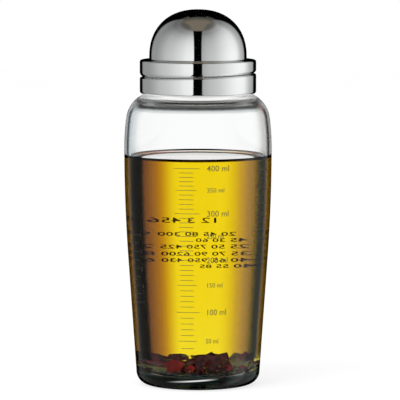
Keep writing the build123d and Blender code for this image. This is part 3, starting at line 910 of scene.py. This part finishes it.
def makeSeeds():
    seeds = spices["seeds"]
    bm = bmesh.new()
    for _ in range(seeds["count"]):
        size = chance.uniform(*seeds["size"])
        place = spicePlace() @ randomTurn(seeds["lean"]) @ Matrix.Diagonal((*seeds["form"], 1))
        bmesh.ops.create_icosphere(bm, subdivisions=seeds["subdivisions"], radius=size / 2, matrix=place)
    for x, height, size in seeds["keys"]:
        place = Matrix.Translation(byTheWall(x, height, seeds["inward"]))
        bmesh.ops.create_icosphere(bm, subdivisions=seeds["subdivisions"], radius=size / 2, matrix=place)
    dressed(finished("spiceSeeds", bm, seeds["sharpAngle"]), "bottle", paleSeed, "pale_spice", "spice_seeds")


def addStalk(bm, place, length, ends):
    stalks = spices["stalks"]
    foot, tip = (stalks["thickness"] * end for end in ends)
    stalk = bmesh.ops.create_cone(bm, cap_ends=True, segments=stalks["sides"], radius1=foot, radius2=tip,
                                  depth=length)
    flat = place @ Matrix.Rotation(math.pi / 2, 4, "Y")
    bmesh.ops.transform(bm, matrix=flat, verts=stalk["verts"])


def makeStalks():
    stalks = spices["stalks"]
    bm = bmesh.new()
    for _ in range(stalks["count"]):
        length = chance.uniform(*stalks["size"])
        addStalk(bm, spicePlace() @ randomTurn(stalks["lean"]), length, stalks["ends"])
    for x, height, length, lean in stalks["keys"]:
        place = Matrix.Translation(byTheWall(x, height, stalks["inward"])) @ Matrix.Rotation(-lean, 4, "Y")
        addStalk(bm, place, length, stalks["keyEnds"])
    dressed(finished("herbStalks", bm, stalks["sharpAngle"]), "bottle", paleSeed, "pale_spice")


makeFlakes("chiliFlakes", spices["chili"], chiliSkin, "red_spice", "chili_flakes")
makeFlakes("darkHerbs", spices["dark"], darkLeaf, "dark_spice", "dark_herbs")
makeFlakes("greenHerbs", spices["green"], greenLeaf, "green_spice", "green_herbs")
makeSeeds()
makeStalks()
print("spices strewn")

# Moulded and metal pieces inside the lid keep their CAD shape
innerFinishes = {
    "neck_gasket": silicone, "cap_grip_ring": silicone, "spout_seal": silicone,
    "screw_ring": whitePlastic, "pour_insert": whitePlastic, "neck_plug": whitePlastic,
    "cap_liner": whitePlastic, "seal_hub": whitePlastic,
    "strainer": satinSteel,
}
for node, material in innerFinishes.items():
    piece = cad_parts[node]
    piece.data.materials.clear()
    piece.data.materials.append(material)
print("inner pieces finished")

# Floor, studio and camera
studio = {
    "floorSize": 6.0, "floorColor": (0.95, 0.95, 0.95), "floorShade": 0.30, "floorGlow": 1.07,
    "padRadius": 0.036, "padShade": (0.004, 0.006, 0.005),
    "diffuseLight": 0.85, "bounces": 24,
    # brightness all round as polished metal shows it, by degrees from the viewer's side, to the right
    "around": (
        (-150, 0.0), (-146, 0.0), (-140, 0.29), (-114, 0.307), (-97, 0.396), (-84, 0.50), (-71, 0.555),
        (-59, 0.61), (-48, 0.693), (-38, 0.76), (-28, 0.866), (-9, 0.93), (9, 0.40),
        (22, 0.51), (32, 0.555), (42, 0.61), (53, 0.707), (64, 0.817), (76, 0.908), (89, 0.97), (104, 0.93),
        (121, 0.53), (138, 0.36), (144, 0.0), (150, 0.0),
    ),
    "aroundRed": 0.985,  # share of its red that is left
    # and its fall with height, by the sine of the height
    "above": ((-1.0, 0.7), (-0.9, 0.9), (0.0, 1.0), (0.38, 0.88), (0.56, 0.77),
              (0.72, 0.57), (0.84, 0.33), (0.9, 0.08), (0.96, 0.0)),
    "overhead": (0.072, 0.07, 0.06), "overheadFrom": (0.78, 0.88),
    # a grey-brown card hangs overhead, wider and darker at its far end
    "card": (0.175, 0.148, 0.115), "cardFar": (0.06, 0.06, 0.05),
    "cardSides": (0.22, 0.38), "cardWidening": 0.27, "cardFrom": (0.87, 0.90), "cardFarFrom": (0.1, 0.45),
    # the camera's own dark stripe, by the sideways part of the direction: its middle, inner and outer reach
    "stripe": (-0.0085, 0.139, 0.172),
    # seen through the glass, one side of the backdrop is browner than the other
    "shade": (0.72, 0.56, 0.50), "shadeTurns": (10, 20, 34, 42),
}


def makeFloor():
    bm = bmesh.new()
    bmesh.ops.create_grid(bm, x_segments=2, y_segments=2, size=studio["floorSize"] / 2)
    floor = finished("floor", bm)
    material, tree, shader = newMaterial("paleFloor")
    tree.nodes.remove(shader)
    path = addNode(tree, "ShaderNodeLightPath").outputs
    # painted shade: through the glass, the floor right under the bottle is dark
    x, y = placeParts(tree)[:2]
    pad = mathNode(tree, "LESS_THAN", axisReach(tree, x, y), studio["padRadius"])
    shaded = mixNode(tree, times(tree, pad, path["Is Transmission Ray"]), white, studio["padShade"])
    matte = addNode(tree, "ShaderNodeBsdfDiffuse", {"Color": studio["floorColor"]}).outputs["BSDF"]
    light = {"Color": shaded, "Strength": studio["floorGlow"]}
    glow = addNode(tree, "ShaderNodeEmission", light).outputs["Emission"]
    # metal shows the studio's walls in place of the floor
    clear = addNode(tree, "ShaderNodeBsdfTransparent").outputs["BSDF"]
    shown = mixShader(tree, path["Is Glossy Ray"], mixShader(tree, studio["floorShade"], glow, matte), clear)
    feed(tree, tree.nodes["Material Output"], {"Surface": shown})
    floor.data.materials.append(material)


def makeWorld():
    world = bpy.data.worlds.new("studio")
    world.use_nodes = True
    scene.world = world
    tree = world.node_tree
    tree.nodes.clear()
    path = addNode(tree, "ShaderNodeLightPath").outputs
    x, y, z = placeParts(tree, "Generated")
    # ramps run from 0 to 1, so the turn round the bottle and the height are brought into that
    azimuth = mathNode(tree, "ARCTAN2", x, times(tree, y, -1.0))
    girth = mathNode(tree, "ADD", mathNode(tree, "DIVIDE", azimuth, math.tau), 0.5)
    lift = mathNode(tree, "ADD", times(tree, z, 0.5), 0.5)
    around = rampNode(tree, girth, [
        (0.5 + turn / 360, (level * studio["aroundRed"], level, level)) for turn, level in studio["around"]])
    above = rampNode(tree, lift, [(0.5 + height / 2, (level,) * 3) for height, level in studio["above"]])
    overhead = smoothStep(tree, z, *studio["overheadFrom"])
    walls = mixNode(tree, overhead, tinted(tree, around, above), studio["overhead"], "ADD")
    middle, inner, outer = studio["stripe"]
    away = mathNode(tree, "ABSOLUTE", mathNode(tree, "SUBTRACT", x, middle))
    striped = tinted(tree, walls, smoothStep(tree, away, inner, outer))
    spread = mathNode(tree, "SUBTRACT", mathNode(tree, "ABSOLUTE", x), times(tree, y, studio["cardWidening"]))
    card = times(tree, smoothStep(tree, spread, *studio["cardSides"], 1.0, 0.0),
                 smoothStep(tree, z, *studio["cardFrom"]))
    cardColor = mixNode(tree, smoothStep(tree, y, *studio["cardFarFrom"]), studio["card"], studio["cardFar"])
    withCard = mixNode(tree, card, striped, cardColor)
    # through the glass the backdrop is white, but for a browner part on one side
    turns = [0.5 + (180 - turn) / 360 for turn in studio["shadeTurns"]][::-1]
    behind = rampNode(tree, girth, list(zip(turns, (white, studio["shade"], studio["shade"], white))))
    # and rays from the lens meet the white backdrop
    inMetal = mixNode(tree, path["Is Glossy Ray"], (studio["diffuseLight"],) * 3, withCard)
    inGlass = mixNode(tree, path["Is Transmission Ray"], inMetal, behind)
    seen = mixNode(tree, path["Is Camera Ray"], inGlass, white)
    background = addNode(tree, "ShaderNodeBackground", {"Color": seen}).outputs["Background"]
    addNode(tree, "ShaderNodeOutputWorld", {"Surface": background})


lamp = {"place": (-0.5, -0.5, 0.9), "aim": (0, 0, 0.1), "size": 0.7, "watts": 6}


def makeLamp():
    data = bpy.data.lights.new("softLamp", "AREA")
    data.size = lamp["size"]
    data.energy = lamp["watts"]
    light = bpy.data.objects.new("softLamp", data)
    light.location = lamp["place"]
    light.rotation_euler = (Vector(lamp["aim"]) - Vector(lamp["place"])).to_track_quat("-Z", "Y").to_euler()
    light.visible_glossy = False
    light.visible_transmission = False
    scene.collection.objects.link(light)


view = {
    "pitch": 5.4, "distance": 1.900, "aim": (0.0011, 0.0, 0.10065), "lens": 313.5, "sensor": 36,
    "farClip": 20,
}


def makeCamera():
    data = bpy.data.cameras.new("photoCamera")
    data.lens = view["lens"]
    data.sensor_width = view["sensor"]
    data.clip_end = view["farClip"]
    camera = bpy.data.objects.new("photoCamera", data)
    pitch = math.radians(view["pitch"])
    away = Vector((0, -math.cos(pitch), math.sin(pitch)))
    camera.location = Vector(view["aim"]) + view["distance"] * away
    camera.rotation_euler = (math.pi / 2 - pitch, 0, 0)
    scene.collection.objects.link(camera)
    scene.camera = camera


makeFloor()
makeWorld()
makeLamp()
makeCamera()
scene.view_settings.view_transform = "Standard"
scene.cycles.max_bounces = studio["bounces"]
scene.cycles.transmission_bounces = studio["bounces"]
scene.cycles.transparent_max_bounces = studio["bounces"]
print("studio set")
